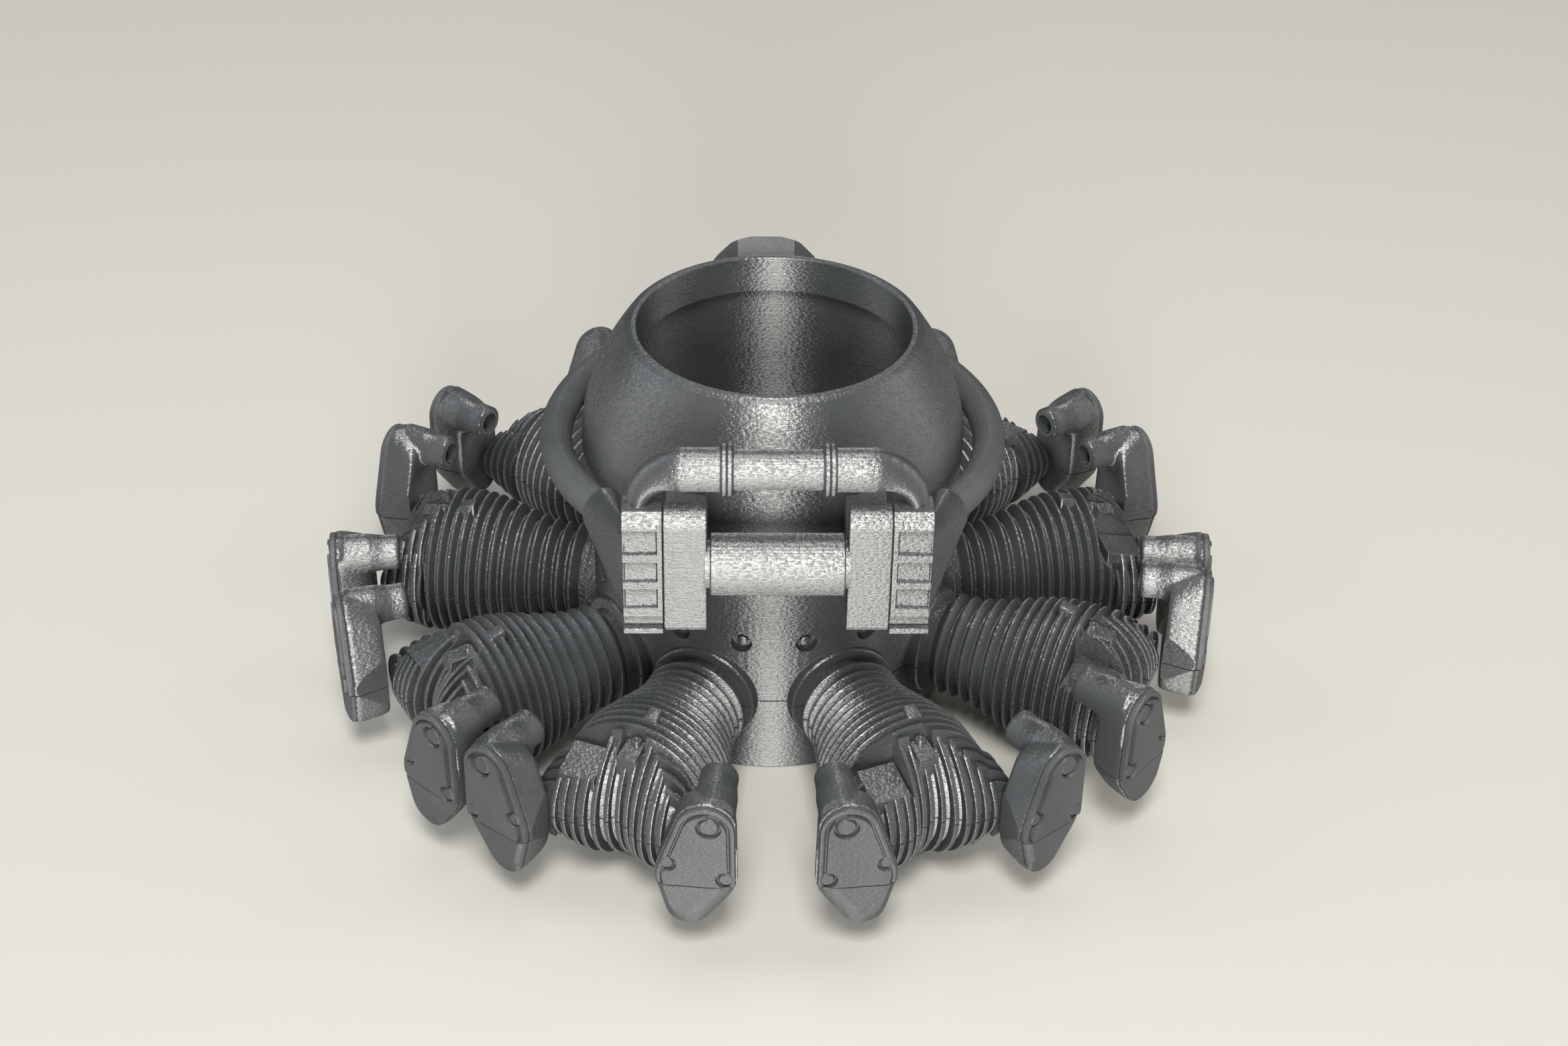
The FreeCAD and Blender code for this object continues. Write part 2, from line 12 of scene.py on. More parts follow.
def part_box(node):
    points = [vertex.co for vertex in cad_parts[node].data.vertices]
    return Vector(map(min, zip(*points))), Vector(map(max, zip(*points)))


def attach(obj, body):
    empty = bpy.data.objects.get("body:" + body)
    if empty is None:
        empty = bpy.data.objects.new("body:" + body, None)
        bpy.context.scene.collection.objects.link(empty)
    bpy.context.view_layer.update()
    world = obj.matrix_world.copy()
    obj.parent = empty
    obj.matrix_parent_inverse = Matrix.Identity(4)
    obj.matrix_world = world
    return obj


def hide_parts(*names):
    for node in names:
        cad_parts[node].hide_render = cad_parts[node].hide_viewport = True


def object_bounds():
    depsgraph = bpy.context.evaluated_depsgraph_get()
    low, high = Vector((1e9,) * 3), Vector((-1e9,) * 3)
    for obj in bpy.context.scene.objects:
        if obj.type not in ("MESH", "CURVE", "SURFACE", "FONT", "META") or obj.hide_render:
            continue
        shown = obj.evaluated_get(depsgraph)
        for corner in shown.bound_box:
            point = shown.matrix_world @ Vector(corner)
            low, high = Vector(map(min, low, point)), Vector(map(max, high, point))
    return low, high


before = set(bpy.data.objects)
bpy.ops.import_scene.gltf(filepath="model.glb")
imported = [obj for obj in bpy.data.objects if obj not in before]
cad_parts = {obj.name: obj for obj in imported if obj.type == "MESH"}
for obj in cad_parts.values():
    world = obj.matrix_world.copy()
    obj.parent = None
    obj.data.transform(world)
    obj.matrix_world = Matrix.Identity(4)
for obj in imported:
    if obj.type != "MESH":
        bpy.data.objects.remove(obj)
cad_low, cad_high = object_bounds()

# Crankcase: a plain tube in two halves that meet on the parting plane, glued. Each cylinder has a round
# seat, and a ring of blind guide holes for pushrods runs round the front half. Printed in grey PLA,
# whose layers lie level round the engine axis and catch the light as bright streaks.
CASE_R = 28.2
CASE_BORE_R = 22.0
CASE_EDGE = 0.25
SEAT_R = 8.5
SEAT_FACE = 28.9
SEAT_FROM = 26.0
SEAM_GAP = 0.22
HOLE_R = 1.65
HOLE_DEPTH = 1.7
HOLE_PIN_R = 0.8
HOLE_PIN_L = 1.1
HOLE_H = 10.8
CYLINDERS = 9
SET_ERROR = (0.0, 0.0, -0.3, 1.2, -2.2, 1.9, 4.6, 0.4, 0.0)
AZIMUTHS = [180.0 + i * 360.0 / CYLINDERS + SET_ERROR[i] for i in range(CYLINDERS)]
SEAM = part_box("crankcase_front")[0].z * 1000
CASE_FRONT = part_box("crankcase_front")[1].z * 1000


def alone(piece):
    """Makes a piece the only selected and active one."""
    bpy.ops.object.select_all(action="DESELECT")
    piece.select_set(True)
    bpy.context.view_layer.objects.active = piece


def drawn(name, points):
    """Starts a piece in edit mode as a line through points, by extruding one corner on."""
    bpy.ops.object.select_all(action="DESELECT")
    bpy.ops.mesh.primitive_plane_add(size=1.0)
    piece = bpy.context.object
    piece.name = name
    bpy.ops.object.mode_set(mode="EDIT")
    bpy.ops.mesh.merge(type="CENTER")
    bpy.ops.transform.translate(value=points[0])
    for here, there in zip(points, points[1:]):
        step = [b - a for a, b in zip(here, there)]
        bpy.ops.mesh.extrude_region_move(TRANSFORM_OT_translate={"value": step})
    bpy.ops.mesh.select_all(action="SELECT")
    return piece


def merged(piece):
    """Closes the seams and poles of a piece in edit mode and turns its faces outwards."""
    bpy.ops.mesh.select_all(action="SELECT")
    bpy.ops.mesh.remove_doubles(threshold=0.002)
    bpy.ops.mesh.normals_make_consistent(inside=False)
    bpy.ops.object.mode_set(mode="OBJECT")
    return piece


def turned(name, outline, steps=96):
    """A piece turned about the Z axis from an outline of (radius, height) pairs."""
    piece = drawn(name, [(radius, 0.0, height) for radius, height in outline])
    bpy.ops.mesh.spin(steps=steps, angle=2 * math.pi, center=(0, 0, 0), axis=(0, 0, 1))
    return merged(piece)


def stood(piece, place, direction):
    """Moves a piece that is drawn up the Z axis to a place, pointing in a direction."""
    piece.rotation_mode = "QUATERNION"
    piece.rotation_quaternion = Vector(direction).to_track_quat("Z", "Y")
    piece.location = place
    alone(piece)
    bpy.ops.object.transform_apply()
    return piece


def joined(pieces):
    """Joins pieces into the first one."""
    alone(pieces[0])
    for piece in pieces[1:]:
        piece.select_set(True)
    bpy.ops.object.join()
    return bpy.context.object


def modified(piece, kind, **settings):
    """Adds a modifier to a piece and applies it."""
    alone(piece)
    bpy.ops.object.modifier_add(type=kind)
    change = piece.modifiers[-1]
    for name, value in settings.items():
        setattr(change, name, value)
    bpy.ops.object.modifier_apply(modifier=change.name)
    return piece


def combined(piece, tool, operation):
    """Adds a tool piece to a piece, or cuts with it, and removes the tool."""
    modified(piece, "BOOLEAN", operation=operation, object=tool, solver="EXACT")
    bpy.data.objects.remove(tool)
    return piece


def copied(piece, name):
    """A copy of a piece, with its own mesh."""
    alone(piece)
    bpy.ops.object.duplicate()
    copy = bpy.context.object
    copy.name = name
    return copy


def sliced(piece, place, normal):
    """Cuts a piece at a plane, closes the cut and keeps the side that the normal points to."""
    alone(piece)
    bpy.ops.object.mode_set(mode="EDIT")
    bpy.ops.mesh.select_all(action="SELECT")
    bpy.ops.mesh.bisect(plane_co=place, plane_no=normal, use_fill=True, clear_inner=True)
    bpy.ops.object.mode_set(mode="OBJECT")
    return piece


def halved(piece, names, height):
    """The front and rear halves of a piece, with the fine gap of the glued seam between them."""
    rear = copied(piece, names[1])
    piece.name = names[0]
    sliced(piece, (0, 0, height + SEAM_GAP / 2), (0, 0, 1))
    sliced(rear, (0, 0, height - SEAM_GAP / 2), (0, 0, -1))
    return piece, rear


def linear(hex_colour):
    """The linear colour of an sRGB hex value."""
    channels = [int(hex_colour[i:i + 2], 16) / 255 for i in (1, 3, 5)]
    return [c / 12.92 if c <= 0.04045 else ((c + 0.055) / 1.055) ** 2.4 for c in channels] + [1.0]


def add(tree, kind, inputs=None, **settings):
    """Adds a shader node with its settings; an input is a value or another node's output."""
    made = tree.nodes.new(kind)
    for name, value in settings.items():
        setattr(made, name, value)
    for name, value in (inputs or {}).items():
        if isinstance(value, bpy.types.NodeSocket):
            tree.links.new(value, made.inputs[name])
        else:
            made.inputs[name].default_value = value
    return made


def printed_pla(name, dark, light, layer_mm, ior, gloss_range):
    """PLA printed in level layers: a glossy skin whose fine ridges draw each highlight out upwards."""
    made = bpy.data.materials.new(name)
    made.use_nodes = True
    tree = made.node_tree
    skin = tree.nodes["Principled BSDF"]
    skin.inputs["IOR"].default_value = ior
    skin.inputs["Specular IOR Level"].default_value = 1.0
    skin.inputs["Anisotropic"].default_value = 1.0
    up = add(tree, "ShaderNodeCombineXYZ", {"Z": 1.0})
    tree.links.new(up.outputs[0], skin.inputs["Tangent"])
    place = add(tree, "ShaderNodeTexCoord").outputs["Object"]
    flattened = add(tree, "ShaderNodeMapping", {"Vector": place, "Scale": (1.0, 1.0, 2.2)}).outputs[0]
    mottle = add(tree, "ShaderNodeTexNoise", {"Vector": place, "Scale": 120.0, "Detail": 6.0})
    crackle = add(tree, "ShaderNodeTexNoise", {"Vector": flattened, "Scale": 1600.0, "Detail": 3.0})
    wobble = add(tree, "ShaderNodeTexNoise", {"Vector": place, "Scale": 260.0, "Detail": 2.0})
    height = add(tree, "ShaderNodeSeparateXYZ", {"Vector": place}).outputs["Z"]
    shifted = add(tree, "ShaderNodeMath", {0: wobble.outputs["Fac"], 1: 0.0001, 2: height},
                  operation="MULTIPLY_ADD")
    turns = add(tree, "ShaderNodeMath", {0: shifted.outputs[0], 1: 2 * math.pi / (layer_mm * 0.001)},
                operation="MULTIPLY")
    ridges = add(tree, "ShaderNodeMath", {0: turns.outputs[0]}, operation="SINE")
    tone = add(tree, "ShaderNodeMapRange", {"Value": mottle.outputs["Fac"], "From Min": 0.3, "From Max": 0.7})
    colour = add(tree, "ShaderNodeMix", {"Factor": tone.outputs[0], "A": linear(dark), "B": linear(light)},
                 data_type="RGBA")
    tree.links.new(colour.outputs["Result"], skin.inputs["Base Color"])
    gloss = add(tree, "ShaderNodeMapRange",
                {"Value": crackle.outputs["Fac"], "From Min": 0.35, "From Max": 0.65,
                 "To Min": gloss_range[0], "To Max": gloss_range[1]})
    tree.links.new(gloss.outputs[0], skin.inputs["Roughness"])
    layers = add(tree, "ShaderNodeBump", {"Height": ridges.outputs[0], "Strength": 0.5, "Distance": 0.00002})
    rough = add(tree, "ShaderNodeBump",
                {"Height": crackle.outputs["Fac"], "Strength": 0.9, "Distance": 0.00012,
                 "Normal": layers.outputs["Normal"]})
    tree.links.new(rough.outputs["Normal"], skin.inputs["Normal"])
    return made


grey_pla = printed_pla("printed_grey_pla", "#3c4043", "#484b4e", 0.25, 1.85, (0.3, 0.6))
# The same plastic again for the ring, rocker covers, screws and plug. It is rougher, which is real, and painted
# paler than the grey above, which is painted light, not a different plastic.
dull_pla_painted_paler = printed_pla("dull_printed_pla_painted_paler", "#4b4e50", "#585b5d", 0.25, 1.45, (0.6, 0.8))


def fitted(piece, *nodes, skin=grey_pla):
    """Brings a finished piece to metres, gives it its skin and puts it in the place of CAD nodes."""
    alone(piece)
    piece.scale = (0.001, 0.001, 0.001)
    bpy.ops.object.transform_apply()
    bpy.ops.object.shade_smooth_by_angle(angle=math.radians(32))
    modified(piece, "WEIGHTED_NORMAL", weight=90, keep_sharp=True)
    piece.data.materials.clear()
    piece.data.materials.append(skin)
    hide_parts(*nodes)
    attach(piece, "root")
    return piece


def outward(azimuth):
    """Unit vector that points out from the engine axis at an azimuth, counted from the front."""
    angle = math.radians(azimuth)
    return Vector((math.sin(angle), -math.cos(angle), 0))


case = turned("case", [
    (CASE_BORE_R, 0.0), (CASE_R - CASE_EDGE, 0.0), (CASE_R, CASE_EDGE), (CASE_R, CASE_FRONT - CASE_EDGE),
    (CASE_R - CASE_EDGE, CASE_FRONT), (CASE_BORE_R, CASE_FRONT), (CASE_BORE_R, 0.0),
])
for azimuth in AZIMUTHS:
    seat = turned("seat", [(0.0, SEAT_FROM), (SEAT_R, SEAT_FROM), (SEAT_R, SEAT_FACE - CASE_EDGE),
                           (SEAT_R - CASE_EDGE, SEAT_FACE), (0.0, SEAT_FACE)], 48)
    stood(seat, (0, 0, SEAM), outward(azimuth))
    combined(case, seat, "UNION")
holes = []
for i in range(2 * CYLINDERS):
    direction = outward((i + 0.5) * 180.0 / CYLINDERS)
    floor_r = CASE_R - HOLE_DEPTH
    hole = turned("hole", [(0.0, CASE_R + 1.0), (HOLE_R, CASE_R + 1.0), (HOLE_R, floor_r), (HOLE_PIN_R, floor_r),
                           (HOLE_PIN_R, floor_r + HOLE_PIN_L), (0.0, floor_r + HOLE_PIN_L + 0.3)], 20)
    holes.append(stood(hole, (0, 0, SEAM + HOLE_H), direction))
combined(case, joined(holes), "DIFFERENCE")
case_front, case_rear = halved(case, ("crankcase_front_shell", "crankcase_rear_shell"), SEAM)
fitted(case_front, "crankcase_front")
fitted(case_rear, "crankcase_rear")

# Nose case: a thin turned bell that swells a little over the crankcase and closes to an open lip.
# Printed in one piece; inside, a straight bore steps in to a narrower mouth.
NOSE_H = 50.1
NOSE_BELLY_R = 29.5
NOSE_BELLY_H = 31.0
NOSE_FALL_ABOVE = 0.0197
NOSE_FALL_BELOW = 0.0107
NOSE_LIP_R = 21.8
NOSE_MOUTH_R = 20.8
NOSE_STEP_H = 44.3
NOSE_STEP_SLOPE = 0.3
NOSE_LIP_ROUND = 0.45
NOSE_RINGS = 28


def nose_radius(over_seam):
    """Outer radius of the bell, a parabola above and below its belly."""
    fall = NOSE_FALL_ABOVE if over_seam > NOSE_BELLY_H else NOSE_FALL_BELOW
    return NOSE_BELLY_R - fall * (over_seam - NOSE_BELLY_H) ** 2


case_h = CASE_FRONT - SEAM
nose_outline = [(CASE_BORE_R, case_h)]
for i in range(NOSE_RINGS + 1):
    over_seam = case_h + (NOSE_H - NOSE_LIP_ROUND - case_h) * i / NOSE_RINGS
    nose_outline.append((min(nose_radius(over_seam), CASE_R + 2), over_seam))
nose_outline += [
    (NOSE_LIP_R, NOSE_H - NOSE_LIP_ROUND / 3),
    (NOSE_LIP_R - NOSE_LIP_ROUND / 2, NOSE_H),
    (NOSE_MOUTH_R + NOSE_LIP_ROUND / 3, NOSE_H),
    (NOSE_MOUTH_R, NOSE_H - NOSE_LIP_ROUND / 3),
    (NOSE_MOUTH_R, NOSE_STEP_H),
    (CASE_BORE_R, NOSE_STEP_H - NOSE_STEP_SLOPE),
    (CASE_BORE_R, case_h),
]
nose = turned("nose_bell", [(radius, SEAM + over_seam) for radius, over_seam in nose_outline], 128)
fitted(nose, "nose_case")

# Cylinders: each is two glued halves of a finned barrel and its head. The barrel has six coarse and seven
# fine ring fins that swell towards the head. The head's plates run outwards and wrap down its end, and on
# the right they turn through mitred corners into rings. A port block and a pad are let into the front.
NECK_R = 6.7
BARREL_FROM = 28.6
FIN_FROM = 30.65
COARSE_FINS = 6
COARSE_PITCH = 2.1
FINE_FINS = 7
FINE_PITCH = 1.65
FIN_R_FIRST = 8.1
FIN_R_LAST = 11.9
FIN_SWELL_FROM = 33.0
FIN_SWELL_TO = 50.0
FIN_DEPTH = 1.5
CREST_HALF = 0.3
CREST_FLAT = 0.13
CREST_ROUND = 0.16
ROOT_HALF = 0.12
BARREL_STEPS = 72
HEAD_FROM = 49.0
HEAD_END = 62.7
HEAD_VALLEY = 2.5
HEAD_HALF_W = 9.4
HEAD_ROUND_W = 10.8
HEAD_POWER = 3.0
HEAD_PLATES = 13
PLATE_T = 0.8
PLATE_DEPTH = 1.15
PLATE_ROUND = 0.2
MITRE_U = 55.3
MITRE_V = 4.2
MITRE_SLOPE = 0.95
RING_REACHES = (10.3, 10.0, 9.7)
RECESS = ((52.4, -14.0, 5.4), (60.2, -3.2, 20.0))
BLOCK = ((53.7, -9.4, 3.0), (60.0, -3.5, 7.5))
BLOCK_FALL = 1.3
PAD_RECESS = ((52.7, -1.5, 9.0), (57.6, 2.1, 20.0))
PAD = ((53.2, -1.2, 5.0), (57.4, 1.8, 9.9))
BOSS_R = 0.8
BOSS_PLACE = (53.9, 0.5, 9.5)
BOSS_H = 1.1
LUMP = ((48.2, 0.0, 8.0), (50.9, 2.3, 12.5))


def fin_radius(u):
    """Crest radius of the ring fins, which swells towards the head."""
    share = min(1.0, max(0.0, (u - FIN_SWELL_FROM) / (FIN_SWELL_TO - FIN_SWELL_FROM)))
    return FIN_R_FIRST + (FIN_R_LAST - FIN_R_FIRST) * share * share * (3 - 2 * share)


def head_height(u, v, drop=0.0):
    """Height of the head over the seam, part of an ellipse along and a squarish round across."""
    rise = FIN_R_LAST * (1 - abs(v / HEAD_ROUND_W) ** HEAD_POWER) ** (1 / HEAD_POWER) - drop
    share = (u - HEAD_FROM) / (head_end(v) - drop - HEAD_FROM)
    return rise * math.sqrt(max(0.0, 1 - share * share))


def head_end(v):
    """Where the plates end: two lobes with a shallow valley between them."""
    share = min(1.0, abs(v) / (HEAD_HALF_W / 2))
    return HEAD_END - HEAD_VALLEY * (1 - share * share * (3 - 2 * share))


def slab(name, outline, step):
    """A flat piece: an outline closed to a face and extruded by a step."""
    drawn(name, outline + outline[:1])
    bpy.ops.mesh.remove_doubles(threshold=0.002)
    bpy.ops.mesh.edge_face_add()
    bpy.ops.mesh.extrude_region_move(TRANSFORM_OT_translate={"value": step})
    return merged(bpy.context.object)


def block(name, low, high, fall=0.0):
    """A block between two corners, whose top may fall towards +X."""
    outline = [(low[0], low[1], low[2]), (high[0], low[1], low[2]),
               (high[0], low[1], high[2] - fall), (low[0], low[1], high[2])]
    return slab(name, outline, (0, high[1] - low[1], 0))


def plate_outline(v, start, drop):
    """A head plate's outline, over and under the seam, from where it starts to its end."""
    end = head_end(v) - drop
    first = math.asin((start - HEAD_FROM) / (end - HEAD_FROM))
    steps = 12
    over = []
    for i in range(steps + 1):
        angle = first + (math.pi / 2 - first) * i / steps
        u = HEAD_FROM + (end - HEAD_FROM) * math.sin(angle)
        over.append((u, v, head_height(u, v, drop)))
    return over + [(u, v, -z) for u, v, z in reversed(over[:-1])]


barrel_outline = [(0.0, BARREL_FROM), (NECK_R, BARREL_FROM), (NECK_R, FIN_FROM - 0.3)]
pitches = [COARSE_PITCH] * COARSE_FINS + [FINE_PITCH] * FINE_FINS
fin_start = FIN_FROM
for pitch in pitches:
    crest = fin_start + pitch / 2
    fin_start += pitch
    radius = fin_radius(crest)
    root = fin_radius(fin_start) - FIN_DEPTH
    barrel_outline += [
        (radius - CREST_ROUND, crest - CREST_HALF), (radius, crest - CREST_FLAT),
        (radius, crest + CREST_FLAT), (radius - CREST_ROUND, crest + CREST_HALF),
        (root, fin_start - ROOT_HALF), (root, fin_start + ROOT_HALF),
    ]
FIN_END = fin_start
barrel_outline += [(0.0, FIN_END + ROOT_HALF)]
cylinder = stood(turned("cylinder", barrel_outline, BARREL_STEPS), (0, 0, 0), (1, 0, 0))

core_outline = plate_outline(0.0, FIN_END - 1.0, PLATE_DEPTH)
core_half = HEAD_HALF_W - 0.4
core_steps = 8
core = drawn("core", [(u, -core_half, z) for u, v, z in core_outline + core_outline[:1]])
bpy.ops.mesh.remove_doubles(threshold=0.002)
bpy.ops.mesh.edge_face_add()


def core_size(v):
    """Reach and rise of the head's core at v, as shares of its middle."""
    reach = (head_end(v) - PLATE_DEPTH - HEAD_FROM) / (head_end(0.0) - PLATE_DEPTH - HEAD_FROM)
    return reach, head_height(HEAD_FROM, v, PLATE_DEPTH) / head_height(HEAD_FROM, 0.0, PLATE_DEPTH)


now = (1.0, 1.0)
for i in range(core_steps + 1):
    v = core_half * (2 * i / core_steps - 1)
    if i:
        bpy.ops.mesh.extrude_region_move(TRANSFORM_OT_translate={"value": (0, 2 * core_half / core_steps, 0)})
    wanted = core_size(v)
    bpy.ops.transform.resize(value=(wanted[0] / now[0], 1, wanted[1] / now[1]),
                             center_override=(HEAD_FROM, v, 0))
    now = wanted
merged(core)
combined(cylinder, core, "UNION")

plates = []
plate_pitch = (2 * HEAD_HALF_W - PLATE_T) / (HEAD_PLATES - 1)
for i in range(HEAD_PLATES):
    low = i * plate_pitch - HEAD_HALF_W
    middle_v = low + PLATE_T / 2
    start = FIN_END - 0.4
    if middle_v > MITRE_V:
        start = MITRE_U + (middle_v - MITRE_V) / MITRE_SLOPE
    outline = [(u, low, z) for u, v, z in plate_outline(middle_v, start, 0.0)]
    plates.append(slab("plate", outline, (0, PLATE_T, 0)))
modified(joined(plates), "BEVEL", width=PLATE_ROUND, segments=2, limit_method="ANGLE",
         angle_limit=math.radians(60))
combined(cylinder, bpy.context.object, "UNION")

rings = []
for i, reach in enumerate(RING_REACHES):
    u = MITRE_U + plate_pitch * i / MITRE_SLOPE
    first_v = MITRE_V + plate_pitch * i
    steps = 12
    over = []
    for k in range(steps + 1):
        v = first_v + (reach - first_v) * math.sin(math.pi / 2 * k / steps)
        over.append((u, v, head_height(u, v)))
    outline = over + [(u, v, -z) for u, v, z in reversed(over)]
    rings.append(slab("ring_plate", outline, (PLATE_T, 0, 0)))
modified(joined(rings), "BEVEL", width=PLATE_ROUND, segments=2, limit_method="ANGLE",
         angle_limit=math.radians(60))
combined(cylinder, bpy.context.object, "UNION")

cylinder_front, cylinder_rear = halved(cylinder, ("cylinder_front_shell", "cylinder_rear_shell"), 0.0)
combined(cylinder_front, block("recess", *RECESS), "DIFFERENCE")
combined(cylinder_front, block("pad_recess", *PAD_RECESS), "DIFFERENCE")
port = modified(block("port_block", *BLOCK, BLOCK_FALL), "BEVEL", width=0.25, segments=2)
combined(cylinder_front, port, "UNION")
pad = modified(block("pad", *PAD, 0.3), "BEVEL", width=0.2, segments=2)
combined(cylinder_front, pad, "UNION")
lump = modified(block("lump", *LUMP, 0.5), "BEVEL", width=0.45, segments=2)
combined(cylinder_front, lump, "UNION")
boss = turned("boss", [(0.0, 0.0), (BOSS_R, 0.0), (BOSS_R, BOSS_H - 0.15), (BOSS_R - 0.15, BOSS_H),
                       (BOSS_R - 0.4, BOSS_H), (BOSS_R - 0.5, BOSS_H - 0.3), (0.0, BOSS_H - 0.3)], 20)
combined(cylinder_front, stood(boss, BOSS_PLACE, (0, 0, 1)), "UNION")


def at_cylinder(piece, name, azimuth):
    """A copy of a piece drawn along +X, turned to a cylinder's azimuth and lifted to the seam."""
    copy = copied(piece, name)
    copy.rotation_mode = "XYZ"
    copy.rotation_euler = (0, 0, math.radians(azimuth - 90))
    copy.location = (0, 0, SEAM)
    bpy.ops.object.transform_apply()
    return copy


for i, azimuth in enumerate(AZIMUTHS):
    for half, node_end in ((cylinder_front, "_front"), (cylinder_rear, "_rear")):
        node = "cylinder_" + str(i + 1) + node_end
        fitted(at_cylinder(half, node + "_shell", azimuth), node)
for half in (cylinder_front, cylinder_rear):
    bpy.data.objects.remove(half)

# Rocker boxes: two shallow boxes beside each head, splayed outwards and split on the seam too. Each has
# rounded shoulders, low fins behind it that carry it on the head, and a round socket for a pushrod tube
# that stands out of its back over a gap.
SPLAY = math.radians(15.8)
COVER_U = 67.0
COVER_V = 15.1
COVER_TOP = (1.3, 9.6, 4.4)
COVER_BELLY = (0.0, 1.2, 5.85)
COVER_TIP = (-1.0, -4.3, 3.5)
BOX_SHELL = ((0.0, 1.0), (1.2, 0.985), (3.2, 0.945), (4.6, 0.9), (5.3, 0.84))
LOW_FIN_FROM = 55.7
LOW_FIN_PITCH = 1.6
LOW_FINS = ((12.9, 7.4), (13.2, 6.9), (13.5, 6.2), (13.7, 5.2))
LOW_FIN_POWER = 1.9
LOW_CORE_DROP = 1.1
BOX_MIDDLE = (-3.0, 1.6)
SOCKET_R = 2.75
SOCKET_BORE_R = 1.7
SOCKET_BORE_L = 6.0
SOCKET_AT = (2.2, 10.9)
SOCKET_L = 9.9
SKIN_VOXEL = 0.32


def tangent_angle(a, b, side):
    """Direction from two circles' centres to where the line that touches both meets them."""
    across, rise = b[0] - a[0], b[1] - a[1]
    spread = math.acos((a[2] - b[2]) / math.hypot(across, rise))
    return math.atan2(rise, across) + side * spread


def pear(inset, height):
    """Pear outline of a rocker cover: arcs of a top, a belly and a tip circle."""
    top, belly, tip = [(w, h, r - inset) for w, h, r in (COVER_TOP, COVER_BELLY, COVER_TIP)]
    outer = tangent_angle(top, belly, 1), tangent_angle(belly, tip, 1)
    inner = tangent_angle(top, belly, -1), tangent_angle(belly, tip, -1)
    arcs = [(top, inner[0], outer[0], 18), (belly, outer[0], outer[1], 5),
            (tip, outer[1], inner[1], 8), (belly, inner[1], inner[0], 5)]
    points = []
    for (w, h, radius), start, stop, steps in arcs:
        sweep = (stop - start) % (2 * math.pi) - 2 * math.pi
        for i in range(steps + 1):
            angle = start + sweep * i / steps
            points.append((w + radius * math.cos(angle), h + radius * math.sin(angle), height))
    return points


def on_cover(piece):
    """Moves a piece drawn in the cover's plane, across, up and outwards, to the right side of a head."""
    side = Vector((-math.sin(SPLAY), math.cos(SPLAY), 0))
    out = Vector((math.cos(SPLAY), math.sin(SPLAY), 0))
    turn = Matrix((side, Vector((0, 0, 1)), out)).transposed().to_4x4()
    alone(piece)
    piece.matrix_world = Matrix.Translation((COVER_U, COVER_V, 0)) @ turn
    bpy.ops.object.transform_apply()
    return piece


def mirrored(piece, name):
    """The same piece for the left side of a head."""
    copy = copied(piece, name)
    copy.scale = (1, -1, 1)
    bpy.ops.object.transform_apply()
    bpy.ops.object.mode_set(mode="EDIT")
    return merged(copy)


def deepened(name, stops, middle, inset=0.0):
    """The cover's outline, set at the first stop of (depth, scale) and extruded back through the others."""
    outline = pear(inset, 0.0)
    piece = drawn(name, outline + outline[:1])
    bpy.ops.mesh.remove_doubles(threshold=0.002)
    bpy.ops.mesh.edge_face_add()
    depth, scale = stops[0]
    bpy.ops.transform.translate(value=(0, 0, -depth))
    bpy.ops.transform.resize(value=(scale, scale, 1), center_override=(*middle, -depth))
    for next_depth, next_scale in stops[1:]:
        bpy.ops.mesh.extrude_region_move(TRANSFORM_OT_translate={"value": (0, 0, depth - next_depth)})
        ratio = next_scale / scale
        bpy.ops.transform.resize(value=(ratio, ratio, 1), center_override=(*middle, 0))
        depth, scale = next_depth, next_scale
    return merged(piece)


rocker = deepened("rocker", BOX_SHELL, BOX_MIDDLE)
socket = turned("socket", [(0.0, 0.0), (SOCKET_R - 0.2, 0.0), (SOCKET_R, 0.2), (SOCKET_R, 2.5),
                           (SOCKET_R + 0.35, 5.0), (SOCKET_R + 0.35, SOCKET_L - 1.0), (0.0, SOCKET_L - 1.0)], 32)
stood(socket, (*SOCKET_AT, -SOCKET_L), (0, 0, 1))
combined(rocker, socket, "UNION")
modified(rocker, "REMESH", mode="VOXEL", voxel_size=SKIN_VOXEL)
modified(rocker, "SMOOTH", factor=0.5, iterations=3)
socket_bore = turned("socket_bore", [(0.0, -1.0), (SOCKET_BORE_R, -1.0), (SOCKET_BORE_R, SOCKET_BORE_L),
                                     (0.0, SOCKET_BORE_L)], 24)
combined(rocker, stood(socket_bore, (*SOCKET_AT, -SOCKET_L), (0, 0, 1)), "DIFFERENCE")
on_cover(rocker)


def low_fin(u, reach, height, thickness):
    """A fin across the side of the head, from inside it out to its reach, over and under the seam."""
    over = []
    for k in range(11):
        share = math.sin(math.pi / 2 * k / 10)
        rise = height * (1 - share ** LOW_FIN_POWER) ** (1 / LOW_FIN_POWER)
        over.append((u, HEAD_HALF_W - 1.0 + (reach - HEAD_HALF_W + 1.0) * share, rise))
    return slab("low_fin", over + [(u, v, -z) for u, v, z in reversed(over[:-1])], (thickness, 0, 0))


low_fins = []
for i, (fin_reach, fin_h) in enumerate(LOW_FINS):
    low_fins.append(low_fin(LOW_FIN_FROM + i * LOW_FIN_PITCH, fin_reach, fin_h, PLATE_T))
fin_stack = modified(joined(low_fins), "BEVEL", width=PLATE_ROUND, segments=2, limit_method="ANGLE",
                     angle_limit=math.radians(60))
low_core = low_fin(LOW_FIN_FROM - 0.4, LOW_FINS[0][0] - LOW_CORE_DROP, LOW_FINS[-1][1] - LOW_CORE_DROP,
                   len(LOW_FINS) * LOW_FIN_PITCH)
combined(rocker, combined(fin_stack, low_core, "UNION"), "UNION")
sliced(rocker, (0, HEAD_HALF_W, 0), (0, 1, 0))
rocker_halves = halved(rocker, ("rocker_top", "rocker_low"), 0.0)
rocker_right = joined(list(rocker_halves))
rocker_left = mirrored(rocker_right, "rocker_left")

